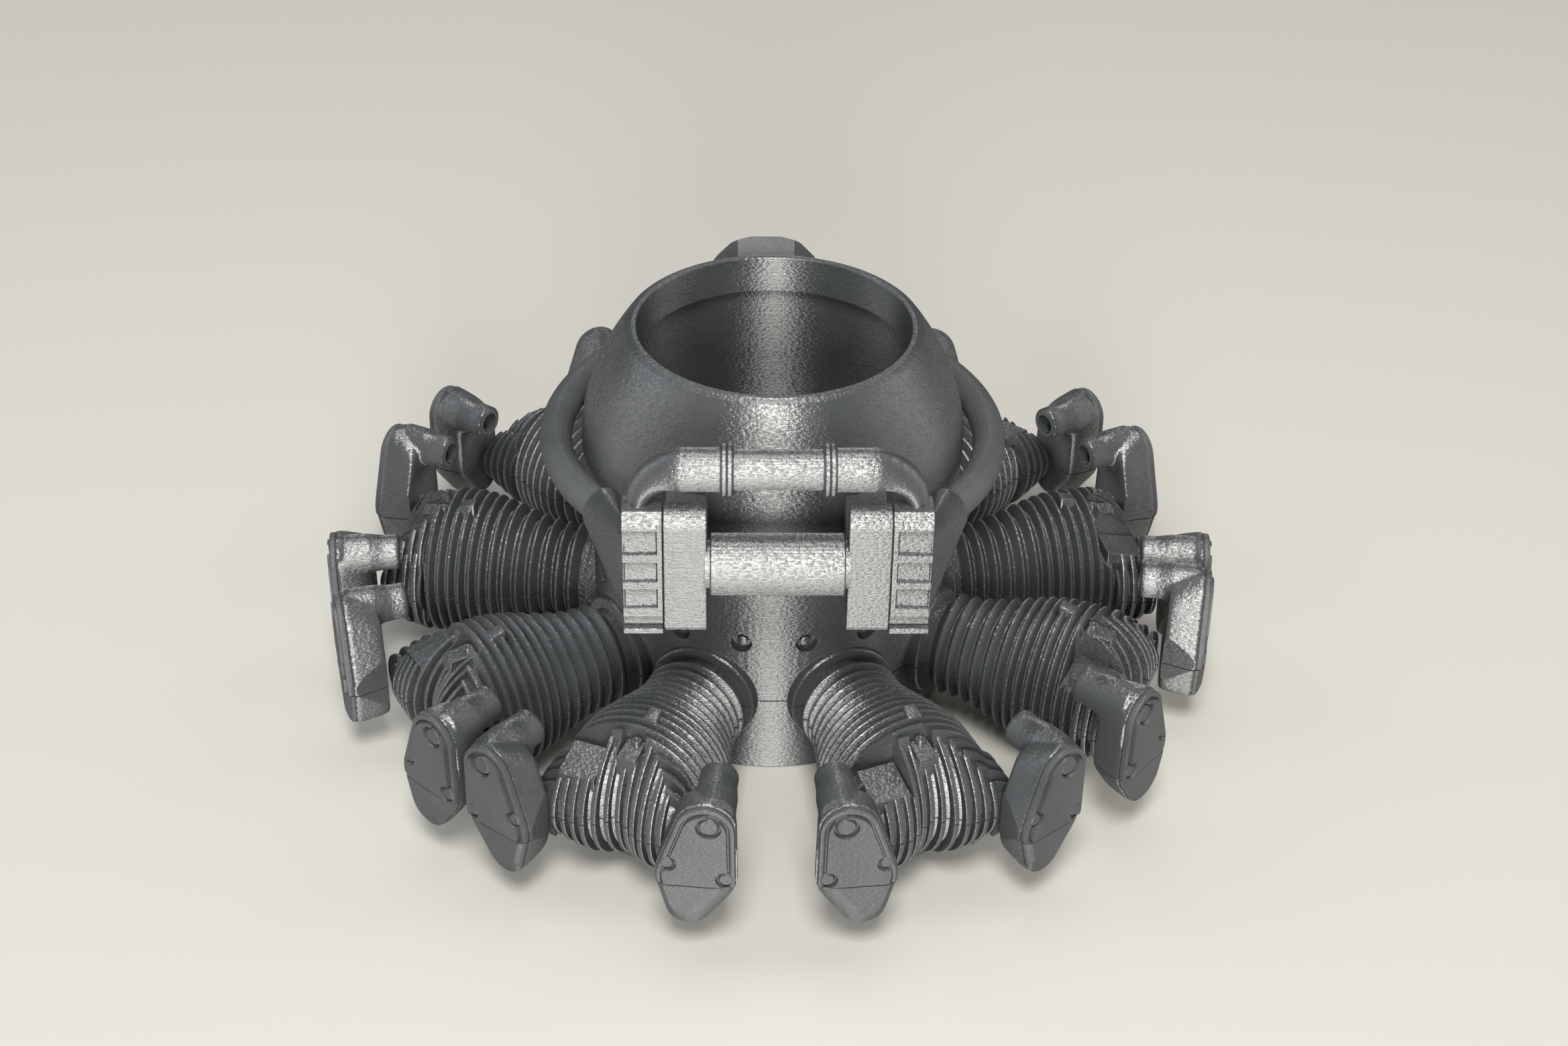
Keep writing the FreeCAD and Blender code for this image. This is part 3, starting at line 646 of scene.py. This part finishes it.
# Rocker covers: each closes its box. The front half has a rolled rim round a raised plate, notched round
# three plain round screw heads; the rear half is a flat wedge with sloping sides. Printed with the boxes.
RIM_INSET = 0.25
RIM_T = 1.0
RIM_W = 0.75
CHANNEL_DEPTH = 0.4
CHANNEL_W = 0.35
PLATE_TOP = 1.42
NOTCHES = ((1.9, 10.8, 1.8), (4.3, 1.5, 1.45), (-3.9, 3.9, 1.35))
WEDGE_STOPS = ((0.0, 1.0), (-0.5, 1.0), (-1.0, 0.86), (-1.42, 0.61))
WEDGE_MIDDLE = (-2.9, -0.7)
SCREW_GAP = 0.4
SCREW_TOP = 1.15

rim = slab("rim", pear(RIM_INSET, 0.0), (0, 0, RIM_T))
alone(rim)
bpy.ops.object.mode_set(mode="EDIT")
bpy.ops.mesh.select_all(action="DESELECT")
bpy.ops.object.mode_set(mode="OBJECT")
for face in rim.data.polygons:
    face.select = face.normal.z > 0.9
bpy.ops.object.mode_set(mode="EDIT")
bpy.ops.mesh.select_mode(type="FACE")
bpy.ops.mesh.inset(thickness=RIM_W)
bpy.ops.mesh.extrude_region_move(TRANSFORM_OT_translate={"value": (0, 0, -CHANNEL_DEPTH)})
bpy.ops.mesh.select_mode(type="VERT")
merged(rim)
modified(rim, "BEVEL", width=0.22, segments=2, limit_method="ANGLE", angle_limit=math.radians(50))
plate_from = RIM_T - CHANNEL_DEPTH - 0.05
upper = slab("upper_plate", pear(RIM_INSET + RIM_W + CHANNEL_W, plate_from), (0, 0, PLATE_TOP - plate_from))
sliced(upper, (0, SEAM_GAP / 2, 0), (0, 1, 0))
for w, h, radius in NOTCHES:
    notch = turned("notch", [(0.0, 0.0), (radius, 0.0), (radius, 3.0), (0.0, 3.0)], 24)
    combined(upper, stood(notch, (w, h, plate_from - 0.5), (0, 0, 1)), "DIFFERENCE")
modified(upper, "BEVEL", width=0.15, segments=2, limit_method="ANGLE", angle_limit=math.radians(50))
sliced(rim, (0, SEAM_GAP / 2, 0), (0, 1, 0))
combined(rim, upper, "UNION")
wedge = deepened("wedge", WEDGE_STOPS, WEDGE_MIDDLE, RIM_INSET)
sliced(wedge, (0, -SEAM_GAP / 2, 0), (0, -1, 0))
modified(wedge, "BEVEL", width=0.1, segments=2, limit_method="ANGLE", angle_limit=math.radians(20))
screws = []
for w, h, radius in NOTCHES:
    screw_r = radius - SCREW_GAP
    screw_h = SCREW_TOP - plate_from
    screw = turned("screw", [(0.0, 0.0), (screw_r, 0.0), (screw_r, screw_h - 0.2), (screw_r - 0.2, screw_h),
                             (0.0, screw_h)], 18)
    screws.append(stood(screw, (w, h, plate_from - 0.02), (0, 0, 1)))
cover_right = on_cover(joined([rim, wedge]))
cover_left = mirrored(cover_right, "cover_left")
screws_right = on_cover(joined(screws))
screws_left = mirrored(screws_right, "screws_left")
for i, azimuth in enumerate(AZIMUTHS):
    for side, rocker_side, cover_side, screws_side in (("left", rocker_left, cover_left, screws_left),
                                                       ("right", rocker_right, cover_right, screws_right)):
        number = str(i + 1) + "_" + side
        fitted(at_cylinder(rocker_side, "rocker_box_" + number + "_shell", azimuth), "rocker_box_" + number)
        fitted(at_cylinder(cover_side, "rocker_cover_" + number, azimuth), "rocker_covers_" + side, skin=dull_pla_painted_paler)
        fitted(at_cylinder(screws_side, "cover_screws_" + number, azimuth), skin=dull_pla_painted_paler)
for master in (rocker_left, rocker_right, cover_left, cover_right, screws_left, screws_right):
    bpy.data.objects.remove(master)

# Ignition ring: the open tube that carries the wires round the nose, from one duct to the other. A round
# bent tube, printed in one piece and let into the two ducts.
RING_R = 33.5
RING_TUBE_R = 2.5
RING_H = 31.0
RING_ANGLE = 50.0
RING_STEPS = 80
TUBE_SIDES = 32

ring_loop = []
for i in range(TUBE_SIDES + 1):
    angle = 2 * math.pi * i / TUBE_SIDES
    place = outward(RING_ANGLE) * (RING_R + RING_TUBE_R * math.cos(angle))
    ring_loop.append((place.x, place.y, SEAM + RING_H + RING_TUBE_R * math.sin(angle)))
ring = drawn("ignition_tube", ring_loop)
bpy.ops.mesh.remove_doubles(threshold=0.002)
bpy.ops.mesh.spin(steps=RING_STEPS, angle=math.radians(2 * RING_ANGLE - 360), center=(0, 0, 0),
                  axis=(0, 0, 1))
bpy.ops.mesh.select_all(action="SELECT")
bpy.ops.mesh.fill_holes(sides=0)
fitted(merged(ring), "ignition_ring", skin=dull_pla_painted_paler)

# Ducts: a flat spout at each end of the ring, which leads the wires into the side of a distributor.
# Round where it meets the ring and tall at the distributor, printed with a crisp edge round its face.
DUCT_R = 3.4
DUCT_FORWARD = (34.4, 39.4)
DUCT_HEIGHT = (23.2, 37.4)
DUCT_INTO = 0.4
DUCT_STOPS = 7
DUCT_SIDES = 32
DIST_OUT = 21.9


def rounded(sides, power):
    """Points round a unit circle, pushed out towards a square as the power falls from 1."""
    points = []
    for i in range(sides):
        across, up = math.cos(2 * math.pi * i / sides), math.sin(2 * math.pi * i / sides)
        points.append((math.copysign(abs(across) ** power, across), math.copysign(abs(up) ** power, up)))
    return points


def skinned(name, loops):
    """A closed piece through loops of points that match one to one."""
    lines = []
    for loop in loops:
        lines.append(drawn(name, loop + loop[:1]))
        bpy.ops.mesh.remove_doubles(threshold=0.0005)
        bpy.ops.object.mode_set(mode="OBJECT")
    whole = joined(lines)
    bpy.ops.object.mode_set(mode="EDIT")
    bpy.ops.mesh.select_all(action="SELECT")
    bpy.ops.mesh.bridge_edge_loops(type="SINGLE")
    bpy.ops.mesh.select_all(action="SELECT")
    bpy.ops.mesh.fill_holes(sides=0)
    return merged(whole)


def across_engine(piece, name):
    """The same piece on the other side of the engine."""
    copy = copied(piece, name)
    copy.scale = (-1, 1, 1)
    bpy.ops.object.transform_apply()
    bpy.ops.object.mode_set(mode="EDIT")
    return merged(copy)


duct_loops = []
for i in range(DUCT_STOPS + 1):
    loop = []
    for round_point, flat_point in zip(rounded(DUCT_SIDES, 1.0), rounded(DUCT_SIDES, 0.25)):
        start = outward(RING_ANGLE) * (RING_R + DUCT_R * round_point[0])
        start.z = RING_H + DUCT_R * round_point[1]
        forward = (sum(DUCT_FORWARD) + (DUCT_FORWARD[1] - DUCT_FORWARD[0]) * flat_point[0]) / 2
        height = (sum(DUCT_HEIGHT) + (DUCT_HEIGHT[1] - DUCT_HEIGHT[0]) * flat_point[1]) / 2
        point = start.lerp(Vector((DIST_OUT - DUCT_INTO, -forward, height)), i / DUCT_STOPS)
        loop.append((point.x, point.y, SEAM + point.z))
    duct_loops.append(loop)
duct = skinned("duct_right_shell", duct_loops)
modified(duct, "BEVEL", width=0.2, segments=2, limit_method="ANGLE", angle_limit=math.radians(60))
fitted(across_engine(duct, "duct_left_shell"), "ring_duct_left")
fitted(duct, "ring_duct_right")

# Magnetos: two tall blocks that stand off the nose, each with a lower body that runs back to it. Their
# front faces are round at the top and chamfered at the foot, with every edge softened by the printing.
MAG_IN = 9.9
MAG_OUT = 16.1
MAG_FRONT = 40.0
MAG_FACE_BACK = 36.0
MAG_BACK = 23.0
MAG_TOP = 41.9
MAG_BOTTOM = 21.6
MAG_BODY_TOP = 36.8
MAG_ROUND = 2.4
MAG_CHAMFER = 1.2
MAG_EDGE = 0.25


def across_x(name, x_low, x_high, outline):
    """A block drawn from the side as (forward, height over the seam) pairs and extruded across."""
    return slab(name, [(x_low, -forward, SEAM + height) for forward, height in outline],
                (x_high - x_low, 0, 0))


mag_outline = [(MAG_BACK, MAG_BOTTOM + MAG_CHAMFER), (MAG_BACK, MAG_BODY_TOP), (MAG_FACE_BACK, MAG_BODY_TOP),
               (MAG_FACE_BACK, MAG_TOP)]
for i in range(7):
    angle = math.pi / 2 * (1 - i / 6)
    mag_outline.append((MAG_FRONT - MAG_ROUND * (1 - math.cos(angle)), MAG_TOP - MAG_ROUND * (1 - math.sin(angle))))
mag_outline += [(MAG_FRONT, MAG_BOTTOM + MAG_CHAMFER), (MAG_FRONT - MAG_CHAMFER, MAG_BOTTOM),
                (MAG_FACE_BACK, MAG_BOTTOM), (MAG_FACE_BACK, MAG_BOTTOM + MAG_CHAMFER)]
magneto = across_x("magneto_right_shell", MAG_IN, MAG_OUT, mag_outline)
modified(magneto, "BEVEL", width=MAG_EDGE, segments=2, limit_method="ANGLE", angle_limit=math.radians(40))
fitted(across_engine(magneto, "magneto_left_shell"), "magneto_left")
fitted(magneto, "magneto_right")

# Distributors: a block on the outer side of each magneto, ribbed across its front. Three shallow windows
# open to the outer side between proud ribs, over a smooth foot with a groove and a lip.
DIST_BACK = 33.9
DIST_TOP = 41.6
DIST_FACE = 39.75
DIST_FLOOR = 39.0
DIST_CAP = 1.7
DIST_RIBS = ((39.3, 40.0), (34.0, 35.4), (29.4, 30.7), (24.6, 26.2))
DIST_FOOT_FACE = 38.9
DIST_GROOVE = (22.5, 22.8)
DIST_GROOVE_DEPTH = 0.5
WINDOW_IN = 0.9

distributor = across_x("distributor_right_shell", MAG_OUT + 0.05, DIST_OUT, [
    (DIST_BACK, MAG_BOTTOM), (DIST_BACK, DIST_TOP), (DIST_FACE - DIST_CAP, DIST_TOP),
    (DIST_FACE, DIST_TOP - DIST_CAP), (DIST_FACE, DIST_RIBS[-1][0]),
    (DIST_FOOT_FACE, DIST_RIBS[-1][0] - 0.5), (DIST_FOOT_FACE, DIST_GROOVE[1]),
    (DIST_FOOT_FACE - DIST_GROOVE_DEPTH, DIST_GROOVE[1]), (DIST_FOOT_FACE - DIST_GROOVE_DEPTH, DIST_GROOVE[0]),
    (DIST_FACE, DIST_GROOVE[0]), (DIST_FACE, MAG_BOTTOM),
])
for over, under in zip(DIST_RIBS, DIST_RIBS[1:]):
    window = across_x("window", MAG_OUT + WINDOW_IN, DIST_OUT + 1.0, [
        (DIST_FLOOR, under[1]), (DIST_FLOOR, over[0]), (DIST_FACE + 2, over[0]), (DIST_FACE + 2, under[1]),
    ])
    combined(distributor, window, "DIFFERENCE")
modified(distributor, "BEVEL", width=0.16, segments=2, limit_method="ANGLE", angle_limit=math.radians(40))
fitted(across_engine(distributor, "distributor_left_shell"), "distributor_left")
fitted(distributor, "distributor_right")

# Drive housing: a plain round bar between the magnetos, with a thinner neck let into each of them so
# that a fine dark joint shows at its ends.
HOUSING_R = 4.4
HOUSING_NECK_R = 3.4
HOUSING_HALF = 9.5
HOUSING_INTO = 0.3
HOUSING_EDGE = 0.2
HOUSING_FORWARD = 38.5
HOUSING_H = 33.0

housing = turned("drive_housing_bar", [
    (0.0, -MAG_IN - HOUSING_INTO), (HOUSING_NECK_R, -MAG_IN - HOUSING_INTO), (HOUSING_NECK_R, -HOUSING_HALF),
    (HOUSING_R - HOUSING_EDGE, -HOUSING_HALF), (HOUSING_R, HOUSING_EDGE - HOUSING_HALF),
    (HOUSING_R, HOUSING_HALF - HOUSING_EDGE), (HOUSING_R - HOUSING_EDGE, HOUSING_HALF),
    (HOUSING_NECK_R, HOUSING_HALF), (HOUSING_NECK_R, MAG_IN + HOUSING_INTO), (0.0, MAG_IN + HOUSING_INTO),
], 72)
fitted(stood(housing, (0, -HOUSING_FORWARD, SEAM + HOUSING_H), (1, 0, 0)), "drive_housing")

# Crossover pipe: joins the tops of the two distributors. A straight round pipe, a clamp collar with a
# fine groove at each end, and an elbow beyond each collar that tapers as it turns down.
PIPE_R = 2.85
PIPE_FORWARD = 35.6
PIPE_H = 47.0
COLLAR_R = 3.65
COLLAR_X = (6.2, 8.15)
COLLAR_ROUND = 0.35
COLLAR_GROOVE = 0.18
ELBOW_R = 3.1
ELBOW_START = 13.6
ELBOW_END = (19.6, 41.3)
ELBOW_END_R = 1.5
ELBOW_STOPS = 14
ELBOW_SIDES = 36

pipe_place = (0, -PIPE_FORWARD, SEAM + PIPE_H)
pipe = turned("crossover_tube", [(0.0, -COLLAR_X[0]), (PIPE_R, -COLLAR_X[0]), (PIPE_R, COLLAR_X[0]),
                                 (0.0, COLLAR_X[0])], 64)
fitted(stood(pipe, pipe_place, (1, 0, 0)), "crossover_pipe")
collar_mid = sum(COLLAR_X) / 2
collar = turned("collar_right_shell", [
    (0.0, COLLAR_X[0]), (COLLAR_R - COLLAR_ROUND, COLLAR_X[0]), (COLLAR_R, COLLAR_X[0] + COLLAR_ROUND),
    (COLLAR_R, collar_mid - COLLAR_GROOVE), (COLLAR_R - COLLAR_GROOVE, collar_mid),
    (COLLAR_R, collar_mid + COLLAR_GROOVE), (COLLAR_R, COLLAR_X[1] - COLLAR_ROUND),
    (COLLAR_R - COLLAR_ROUND, COLLAR_X[1]), (0.0, COLLAR_X[1]),
], 64)
stood(collar, pipe_place, (1, 0, 0))
fitted(across_engine(collar, "collar_left_shell"), "pipe_collar_left")
fitted(collar, "pipe_collar_right")
elbow_loops = []
for i in range(-3, ELBOW_STOPS + 1):
    share = max(i, 0) / ELBOW_STOPS
    bend = math.pi / 2 * share
    radius = ELBOW_R + (ELBOW_END_R - ELBOW_R) * share
    x = ELBOW_START + (ELBOW_END[0] - ELBOW_START) * math.sin(bend)
    if i < 0:
        x = COLLAR_X[1] - 0.1 + (ELBOW_START - COLLAR_X[1]) * (i + 3) / 3
    z = PIPE_H - (PIPE_H - ELBOW_END[1]) * (1 - math.cos(bend))
    loop = []
    for k in range(ELBOW_SIDES):
        turn = 2 * math.pi * k / ELBOW_SIDES
        lift = radius * math.cos(turn)
        loop.append((x + lift * math.sin(bend), -PIPE_FORWARD + radius * math.sin(turn),
                     SEAM + z + lift * math.cos(bend)))
    elbow_loops.append(loop)
elbow = skinned("elbow_right_shell", elbow_loops)
fitted(across_engine(elbow, "elbow_left_shell"), "crossover_elbow_left")
fitted(elbow, "crossover_elbow_right")

# Hexagon plug: a nut-like head square to the dome at the rear, with its corners turned off to arcs,
# let into the dome.
PLUG_FLATS = 15.6
PLUG_L = 5.4
PLUG_SINK = 3.0
PLUG_PLACE = (-0.9, -26.4, 41.1)
PLUG_TILT = math.radians(60.0)
PLUG_TOP_R = 8.1
PLUG_TURNED_R = 9.3
PLUG_TURNED_L = 0.9
PLUG_INTO = 1.0

bpy.ops.object.select_all(action="DESELECT")
bpy.ops.mesh.primitive_cylinder_add(vertices=6, radius=PLUG_FLATS / math.sqrt(3), depth=PLUG_L + PLUG_SINK,
                                    location=(0, 0, (PLUG_L - PLUG_SINK) / 2), rotation=(0, 0, math.pi / 6))
plug = bpy.context.object
bpy.ops.object.transform_apply()
plug.name = "hexagon_plug"
turning = turned("turning", [(0.0, -PLUG_SINK - 1), (PLUG_FLATS, -PLUG_SINK - 1), (PLUG_FLATS, 0.0),
                             (PLUG_TURNED_R, PLUG_L - PLUG_TURNED_L), (PLUG_TOP_R, PLUG_L), (0.0, PLUG_L)], 96)
combined(plug, turning, "INTERSECT")
stood(plug, (PLUG_PLACE[0], -PLUG_PLACE[1], SEAM + PLUG_PLACE[2]),
      (0, math.sin(PLUG_TILT), math.cos(PLUG_TILT)))
dome = [(nose_radius(h) - PLUG_INTO, SEAM + h) for h in range(int(case_h), int(NOSE_H) + 1)]
inside = turned("inside", [(0.0, dome[0][1]), *dome, (0.0, dome[-1][1])], 64)
combined(plug, inside, "DIFFERENCE")
modified(plug, "BEVEL", width=0.12, segments=2, limit_method="ANGLE", angle_limit=math.radians(25))
fitted(plug, "nose_plug", skin=dull_pla_painted_paler)

# Floor, lamps and camera: a pale sweep of matt paper under softboxes, seen from the photograph's place.


def soft_lamp(name, place, target, width, height, watts, tint):
    """A softbox that points at a place."""
    bpy.ops.object.light_add(type="AREA", location=place)
    lamp = bpy.context.object
    lamp.name = name
    lamp.data.shape = "RECTANGLE"
    lamp.data.size = width
    lamp.data.size_y = height
    lamp.data.energy = watts
    lamp.data.color = linear(tint)[:3]
    lamp.rotation_euler = (Vector(target) - Vector(place)).to_track_quat("-Z", "Y").to_euler()
    return lamp


bpy.ops.object.select_all(action="DESELECT")
bpy.ops.mesh.primitive_plane_add(size=6.0, location=(0, 0, cad_low.z))
floor = bpy.context.object
floor.name = "floor"
paper = bpy.data.materials.new("matt_paper")
paper.use_nodes = True
paper.node_tree.nodes["Principled BSDF"].inputs["Base Color"].default_value = linear("#cecdc7")
paper.node_tree.nodes["Principled BSDF"].inputs["Roughness"].default_value = 0.9
floor.data.materials.append(paper)

middle = (0.0, 0.0, 0.03)
soft_lamp("low_softbox", (-0.02, -1.0, 0.3), middle, 0.26, 0.35, 7.0, "#fffdf8")
soft_lamp("high_softbox", (-0.02, -0.55, 0.95), middle, 0.3, 0.4, 9.0, "#fffdf8")
soft_lamp("top_softbox", (0.0, 0.3, 1.3), middle, 0.8, 0.8, 3.0, "#fffefb")
soft_lamp("left_softbox", (-0.95, 0.25, 0.75), middle, 0.6, 1.0, 3.0, "#f6f9ff")
soft_lamp("right_softbox", (0.95, 0.25, 0.75), middle, 0.6, 1.0, 3.0, "#fffaf2")

world = bpy.data.worlds.new("studio")
bpy.context.scene.world = world
world.use_nodes = True
world.node_tree.nodes["Background"].inputs["Color"].default_value = linear("#d8d8d6")
world.node_tree.nodes["Background"].inputs["Strength"].default_value = 0.12

CAMERA_PLACE = Vector((-0.00761, -0.3100, 0.2393))
CAMERA_YAW = math.radians(1.78)
CAMERA_PITCH = math.radians(34.41)
CAMERA_ROLL = math.radians(1.126)
CAMERA_LENS = 54.19
SENSOR_WIDTH = 36.0
forward = Vector((math.sin(CAMERA_YAW) * math.cos(CAMERA_PITCH),
                  math.cos(CAMERA_YAW) * math.cos(CAMERA_PITCH),
                  -math.sin(CAMERA_PITCH)))
level = Vector((math.cos(CAMERA_YAW), -math.sin(CAMERA_YAW), 0))
upright = level.cross(forward)
right = level * math.cos(CAMERA_ROLL) + upright * math.sin(CAMERA_ROLL)
up = upright * math.cos(CAMERA_ROLL) - level * math.sin(CAMERA_ROLL)
bpy.ops.object.camera_add(location=CAMERA_PLACE)
camera = bpy.context.object
camera.data.lens = CAMERA_LENS
camera.data.sensor_width = SENSOR_WIDTH
camera.matrix_world = Matrix.Translation(CAMERA_PLACE) @ Matrix((right, up, -forward)).transposed().to_4x4()
bpy.context.scene.camera = camera
bpy.context.scene.view_settings.view_transform = "Standard"

for cad_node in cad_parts.values():
    if not cad_node.hide_render:
        cad_node.data.materials.clear()
        cad_node.data.materials.append(grey_pla)

bpy.context.view_layer.update()
